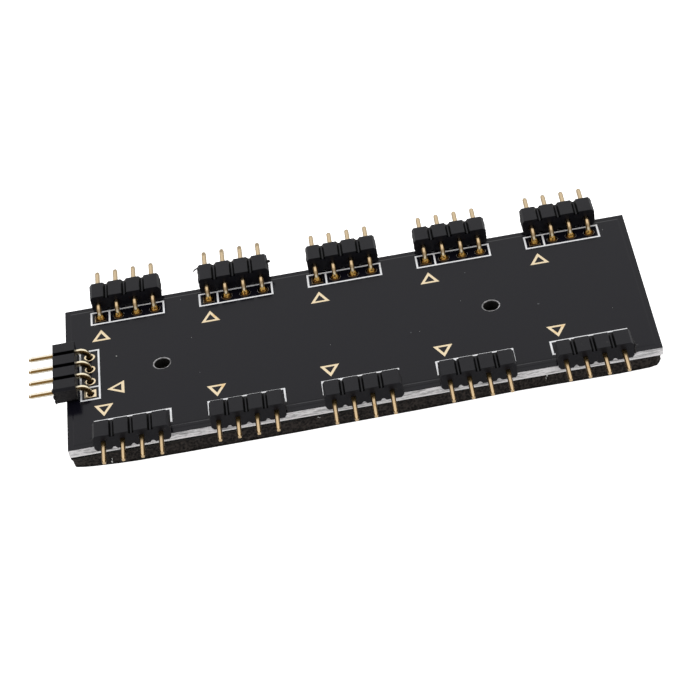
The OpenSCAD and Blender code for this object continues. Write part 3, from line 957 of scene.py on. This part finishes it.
def slant_corner(bm, low_z, high_z):
    """Leans the cut out towards the board's near left corner, so that it reaches the edge at the top."""
    low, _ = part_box("board_laminate")
    span, fade, depth, inset = 5.0 * MM, 3.5 * MM, 2.2 * MM, 0.15 * MM
    for vert in bm.verts:
        share = (vert.co.z - low_z) / (high_z - low_z)
        reach = max(0.0, min(1.0, (low.x + span - vert.co.x) / fade))
        if vert.co.y < low.y + depth:
            vert.co.y += (low.y + inset - vert.co.y) * share * reach


def raise_edges(bm, edges, rise):
    """Extrudes edges straight up, and returns the upper ones."""
    made = bmesh.ops.extrude_edge_only(bm, edges=edges)["geom"]
    lifted = [item for item in made if isinstance(item, bmesh.types.BMVert)]
    bmesh.ops.translate(bm, verts=lifted, vec=(0.0, 0.0, rise))
    return [item for item in made if isinstance(item, bmesh.types.BMEdge)]


def tail_pockets(bm, high_z):
    """Hollows that the soldered tails have pressed in the foam. Returns the edges of their mouths."""
    floor_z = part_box("in_pins")[0].z - 0.2 * MM
    mouths = []
    for name in HEADER_TURNS:
        matrix, _ = header_place(name)
        for x in pin_places():
            disc = bmesh.ops.create_circle(
                bm, cap_ends=True, segments=24, radius=bpy.context.scene.hub_foam.pocket_radius,
                matrix=Matrix.Translation(matrix @ Vector((x, 0.0, floor_z))),
            )["verts"]
            rim = list({edge for vert in disc for edge in vert.link_edges})
            mouths += raise_edges(bm, rim, high_z - floor_z)
    return mouths


def foam_piece(material):
    """Foam pad cut by hand: open cells round its sides, and hollows pressed by the tails."""
    foam = bpy.context.scene.hub_foam
    low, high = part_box("foam_pad")
    bm = bmesh.new()
    pore_shade = bm.verts.layers.float.new("pore_shade")
    for edge in closed_loop(bm, foam_outline()):
        cuts = int(edge.calc_length() / foam.facet)
        if cuts:
            bmesh.ops.subdivide_edges(bm, edges=[edge], cuts=cuts)
    bottom = list(bm.edges)
    ring = bottom
    for _ in range(foam.layers):
        ring = raise_edges(bm, ring, (high.z - low.z) / foam.layers)
    bmesh.ops.recalc_face_normals(bm, faces=bm.faces)
    open_cells(bm, pore_shade, low.z, high.z)
    bmesh.ops.triangle_fill(bm, use_beauty=True, edges=bottom, normal=(0.0, 0.0, -1.0))
    mouths = ring + tail_pockets(bm, high.z)
    bmesh.ops.triangle_fill(bm, use_beauty=True, edges=mouths, normal=(0.0, 0.0, 1.0))
    piece = finish_piece(bm, "foam_pad_cut", material, sharp_degrees=50.0)
    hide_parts("foam_pad")


# Crumbs, specks and edge bits

def add_crumb(bm, middle, size, seed, roughness=0.35):
    """A small lump with an uneven skin, as wide as size says along each axis."""
    lump = bmesh.ops.create_icosphere(bm, subdivisions=2, radius=0.5)["verts"]
    for vert in lump:
        swell = 1.0 + roughness * noise.noise(vert.co * 3.0 + Vector((seed, seed, 0.0)))
        vert.co = Vector((vert.co[i] * size[i] * swell for i in range(3))) + Vector(middle)


# Bits of plastic left on the snapped ends, by header and side: (outward, along the pins, up) in
# millimetres from the middle of the end face, in the header's own frame, then (wide, long, high)
END_CRUMBS = {
    ("out_6", 1): [
        ((0.02, 1.15, -1.0), (0.35, 0.5, 0.45)),
    ],
    ("out_6", -1): [
        ((0.08, 0.9, 0.1), (0.3, 0.3, 0.3)),
    ],
    ("out_7", -1): [
        ((0.1, 0.95, 0.75), (0.55, 0.7, 0.5)), ((0.28, 0.6, 0.55), (0.4, 0.35, 0.3)),
        ((0.15, 1.1, 0.1), (0.4, 0.4, 0.5)),
    ],
    ("out_10", -1): [
        ((0.15, 0.7, 0.5), (0.6, 0.9, 0.7)), ((0.32, 1.0, 0.45), (0.35, 0.5, 0.4)),
        ((0.22, 0.9, -0.1), (0.5, 0.7, 0.8)), ((0.25, 1.25, -0.45), (0.4, 0.4, 0.7)),
        ((0.1, -0.1, 0.3), (0.4, 0.8, 0.9)),
    ],
    ("out_2", 1): [
        ((0.17, 0.3, 0.8), (0.6, 0.45, 0.45)),
    ],
    ("out_2", -1): [
        ((-0.1, 1.1, 1.08), (0.36, 0.2, 0.22)), ((0.1, 1.08, 0.98), (0.36, 0.18, 0.22)),
        ((0.28, 1.05, 0.86), (0.32, 0.15, 0.2)), ((0.42, 1.0, 0.72), (0.24, 0.12, 0.18)),
    ],
    ("in", 1): [
        ((-0.95, 1.45, 0.95), (0.2, 0.4, 0.14)),
    ],
    ("in", -1): [
        ((-0.75, 1.5, 0.85), (0.3, 0.5, 0.4)), ((-0.45, 1.5, 0.5), (0.35, 0.4, 0.5)),
        ((-0.1, 1.5, 0.0), (0.4, 0.6, 0.8)), ((0.0, 1.45, -0.7), (0.35, 0.55, 0.8)),
        ((-0.55, 1.66, 0.72), (0.24, 0.34, 0.34)),
    ],
}


def end_crumbs(material):
    """Torn bits that stay on the ends where the header strips were snapped apart."""
    bm = bmesh.new()
    torn = bm.verts.layers.float.new("torn")
    crumbs = [(*end, *crumb) for end, lumps in END_CRUMBS.items() for crumb in lumps]
    for seed, (name, side, offset, size) in enumerate(crumbs):
        matrix, _ = header_place(name)
        low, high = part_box(f"{name}_housing")
        back = matrix.inverted()
        corners = [back @ low, back @ high]
        end_x = max(abs(corner.x) for corner in corners)
        middle = (corners[0] + corners[1]) / 2
        outward, forward, up = (value * MM for value in offset)
        spot = Vector((side * (end_x + outward), middle.y + forward, middle.z + up))
        add_crumb(bm, matrix @ spot, [value * MM for value in size], seed)
    for vert in bm.verts:
        vert[torn] = 1.0
    finish_piece(bm, "snapped_end_crumbs", material, sharp_degrees=40.0)


# Loose specks on the lacquer: place across the board in millimetres, then width
SPECKS = [
    ((-32.39, 3.03), 0.2), ((-23.07, 12.86), 0.09), ((-21.97, 4.19), 0.09), ((-3.37, -2.39), 0.08),
    ((14.9, 2.04), 0.08), ((8.67, -2.92), 0.08), ((34.46, -4.93), 0.09), ((36.13, 11.94), 0.09),
]
# Pale bits of laminate and film along the near edge: place in millimetres, then size
EDGE_BITS = [
    ((-34.12, -14.47, 0.6), (0.22, 0.14, 0.34)), ((-34.02, -14.45, 1.05), (0.1, 0.1, 0.35)),
    ((-6.38, -14.52, 2.1), (0.2, 0.08, 0.1)), ((-6.22, -14.52, 2.0), (0.16, 0.08, 0.08)),
    ((-10.36, -14.54, 2.8), (0.18, 0.08, 0.2)), ((23.96, -14.53, 2.38), (0.2, 0.1, 0.22)),
    ((23.8, -14.45, 1.9), (0.07, 0.06, 0.4)),
]


def specks(dust, bits):
    """Dust that lies on the lacquer, and bits that cling to the near edge."""
    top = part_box("solder_mask_top")[1].z
    bm = bmesh.new()
    for seed, ((x, y), size) in enumerate(SPECKS):
        width = size * MM
        add_crumb(bm, (x * MM, y * MM, top + 0.1 * width), (width, width, 0.4 * width), seed)
    finish_piece(bm, "dust_specks", dust)
    bm = bmesh.new()
    for seed, (spot, size) in enumerate(EDGE_BITS):
        add_crumb(bm, Vector(spot) * MM, Vector(size) * MM, seed)
    finish_piece(bm, "edge_bits", bits)


# Stage

# The camera's place in millimetres, and the ways that its picture runs, in the hub's own frame
CAMERA_PLACE = (4.307, -262.285, 219.953)
# Focal length in pixels of a picture of this width
FOCAL_PIXELS = 2522.8
PICTURE_WIDTH = 680
SENSOR = 36.0
CAMERA_RIGHT = Vector((0.984828, -0.096007, -0.144553))
CAMERA_DOWN = Vector((-0.172521, -0.631436, -0.755993))
CAMERA_AHEAD = Vector((-0.018695, 0.769462, -0.638419))


def build_camera():
    data = bpy.data.cameras.new("camera")
    data.sensor_width = SENSOR
    data.lens = FOCAL_PIXELS / PICTURE_WIDTH * SENSOR
    data.clip_start = 0.01
    camera = bpy.data.objects.new("camera", data)
    bpy.context.scene.collection.objects.link(camera)
    turn = Matrix((CAMERA_RIGHT, -CAMERA_DOWN, -CAMERA_AHEAD)).transposed().to_4x4()
    camera.matrix_world = Matrix.Translation(Vector(CAMERA_PLACE) * MM) @ turn
    bpy.context.scene.camera = camera


def floor_material():
    """White that glows only for the camera, clear from below and for light from the pad's underside."""
    stage = bpy.context.scene.hub_stage
    material, tree, shader = new_material(
        "white_floor", base_color=(*stage.floor, 1.0), roughness=0.9, specular_ior_level=0.0
    )
    path = add_node(tree, "LightPath").outputs
    strength = product(tree, path["Is Camera Ray"], 0.95)
    glow = add_node(tree, "Emission", {"Color": WHITE, "Strength": strength})
    both = add_node(tree, "AddShader", {0: shader.outputs[0], 1: glow.outputs[0]})
    below = add_node(tree, "NewGeometry").outputs["Backfacing"]
    unseen = calc(tree, "MAXIMUM", below, calc(tree, "LESS_THAN", path["Ray Length"], 0.1 * MM))
    clear = add_node(tree, "BsdfTransparent")
    sided = add_node(tree, "MixShader", {0: unseen, 1: both.outputs[0], 2: clear.outputs[0]})
    feed(tree, tree.nodes["Material Output"].inputs["Surface"], sided.outputs[0])
    return material


def build_floor():
    """A floor a hair below the pad."""
    bm = bmesh.new()
    bmesh.ops.create_grid(
        bm, x_segments=1, y_segments=1, size=bpy.context.scene.hub_stage.floor_size,
        matrix=Matrix.Translation((0.0, 0.0, -0.02 * MM)),
    )
    new_object(bm, "floor", floor_material())


def build_tent():
    """White tent: even light all round, brighter overhead, with a dark gap on the near side."""
    stage = bpy.context.scene.hub_stage
    world = bpy.data.worlds.new("tent")
    bpy.context.scene.world = world
    world.use_nodes = True
    tree = world.node_tree
    tree.nodes.clear()
    way = add_node(tree, "TexCoord").outputs["Generated"]
    up = add_node(tree, "SeparateXYZ", {0: way}).outputs[2]
    tilt, edge, core = (math.radians(angle) for angle in (42, 40, 24))
    gap_way = (0.0, -math.cos(tilt), math.sin(tilt))
    toward = add_node(tree, "VectorMath", {0: way, 1: gap_way}, operation="DOT_PRODUCT")
    gap = ramp(tree, toward.outputs["Value"], math.cos(edge), math.cos(core))
    level = ramp(tree, up, 0.55, 0.95, stage.tent, stage.overhead)
    shaded = add_node(tree, "Mix", {0: gap, 2: level, 3: stage.shade}).outputs[0]
    seen = add_node(tree, "LightPath").outputs["Is Camera Ray"]
    strength = add_node(tree, "Mix", {0: seen, 2: shaded, 3: 1.0}).outputs[0]
    light = add_node(tree, "Background", {"Color": WHITE, "Strength": strength})
    out = tree.nodes.new("ShaderNodeOutputWorld")
    feed(tree, out.inputs["Surface"], light.outputs[0])
    bpy.context.scene.view_settings.view_transform = "Standard"


# Operators

class HUB_OT_stage(bpy.types.Operator):
    """Set up the camera, the floor and the white tent"""
    bl_idname = "hub.stage"
    bl_label = "Stage"

    def execute(self, context):
        build_camera()
        build_floor()
        build_tent()
        return {"FINISHED"}


class HUB_OT_board(bpy.types.Operator):
    """Finish the laminate, the lacquer, the print and the copper"""
    bl_idname = "hub.board"
    bl_label = "Board"

    def execute(self, context):
        plating = plating_material()
        dress(lacquer_material(), "solder_mask_top", "solder_mask_bottom")
        dress(laminate_material(), "board_laminate")
        dress(print_material(), "silkscreen")
        dress(plating, "pin_one_marks", *COPPER_NODES)
        for name in HEADER_TURNS:
            header_pads(name, plating)
        return {"FINISHED"}


class HUB_OT_headers(bpy.types.Operator):
    """Build the housings, the pins and the solder of every header"""
    bl_idname = "hub.headers"
    bl_label = "Headers"

    def execute(self, context):
        plastic = plastic_material()
        gold = pin_material()
        tin = solder_material()
        for seed, name in enumerate(HEADER_TURNS):
            header_housing(name, plastic, seed)
            header_pins(name, gold)
            dress(tin, f"{name}_solder")
        end_crumbs(plastic)
        return {"FINISHED"}


class HUB_OT_foam(bpy.types.Operator):
    """Build the foam pad with its films of adhesive"""
    bl_idname = "hub.foam"
    bl_label = "Foam pad"

    def execute(self, context):
        dress(adhesive_material(), "adhesive_upper", "adhesive_lower")
        foam_piece(foam_material())
        return {"FINISHED"}


class HUB_OT_specks(bpy.types.Operator):
    """Scatter the few specks that lie on the board"""
    bl_idname = "hub.specks"
    bl_label = "Specks"

    def execute(self, context):
        dust = fleck_material("pale_dust", (0.5, 0.5, 0.48), (0.3, 0.3, 0.3))
        specks(dust, fleck_material("laminate_bits", (0.85, 0.84, 0.82), (0.5, 0.5, 0.48)))
        return {"FINISHED"}


class HUB_PT_panel(bpy.types.Panel):
    """Lists the steps that build the finished hub"""
    bl_label = "Splitter hub"
    bl_idname = "HUB_PT_panel"
    bl_space_type = "VIEW_3D"
    bl_region_type = "UI"
    bl_category = "Hub"

    def draw(self, context):
        for settings in SETTINGS:
            group = getattr(context.scene, settings)
            box = self.layout.box()
            box.label(text=settings.replace("_", " ").capitalize())
            for name in group.bl_rna.properties.keys():
                if name not in ("rna_type", "name"):
                    box.prop(group, name)
        for operator in OPERATORS:
            self.layout.operator(operator.bl_idname)


SETTINGS = {
    "hub_stage": HubStageSettings,
    "hub_board": HubBoardSettings,
    "hub_headers": HubHeaderSettings,
    "hub_foam": HubFoamSettings,
}
OPERATORS = (HUB_OT_stage, HUB_OT_board, HUB_OT_headers, HUB_OT_foam, HUB_OT_specks)
CLASSES = (*SETTINGS.values(), *OPERATORS, HUB_PT_panel)


def register():
    for cls in CLASSES:
        bpy.utils.register_class(cls)
    for name, settings in SETTINGS.items():
        setattr(bpy.types.Scene, name, PointerProperty(type=settings))


def unregister():
    for name in SETTINGS:
        delattr(bpy.types.Scene, name)
    for cls in reversed(CLASSES):
        bpy.utils.unregister_class(cls)


def main():
    """Builds everything in order."""
    register()
    bpy.ops.hub.stage()
    bpy.ops.hub.board()
    bpy.ops.hub.headers()
    bpy.ops.hub.foam()
    bpy.ops.hub.specks()


if __name__ == "__main__":
    main()
